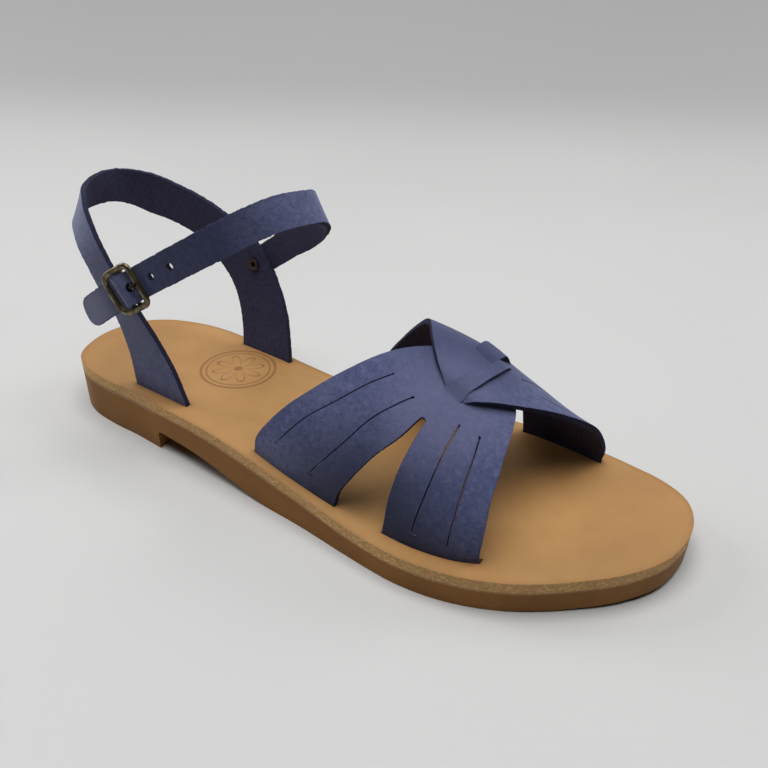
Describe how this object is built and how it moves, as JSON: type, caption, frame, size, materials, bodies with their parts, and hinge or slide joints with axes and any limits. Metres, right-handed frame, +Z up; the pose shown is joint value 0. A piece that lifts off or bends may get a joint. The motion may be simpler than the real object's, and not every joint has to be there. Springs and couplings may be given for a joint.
{
  "type": "strappy sandal",
  "caption": "Flat leather sandal with a slit, crossed and tied forefoot strap, a heel strap and a buckled ankle strap.",
  "frame": {"origin": "on the floor, under the middle of the heel seat", "axes": "+X towards the toe, +Y towards the inner side of the foot, +Z up from the floor"},
  "size_m": [0.258, 0.0927, 0.108],
  "materials": {
    "outsole": "smooth moulded, satin",
    "insole": "smooth vegetable-tanned, cut edge left raw",
    "upper": "nubuck with raw cut edges",
    "back_strap": "nubuck with raw cut edges",
    "ankle_strap": "nubuck with raw cut edges",
    "buckle": "antiqued",
    "prong": "antiqued",
    "eyelet": "antiqued"
  },
  "bodies": {
    "root": {"outsole": "outsole", "insole": "insole", "upper": "upper", "back_strap": "back_strap", "ankle_strap": "ankle_strap", "buckle_frame": "buckle", "buckle_prong": "prong", "eyelet": "eyelet"}
  },
  "joints": []
}
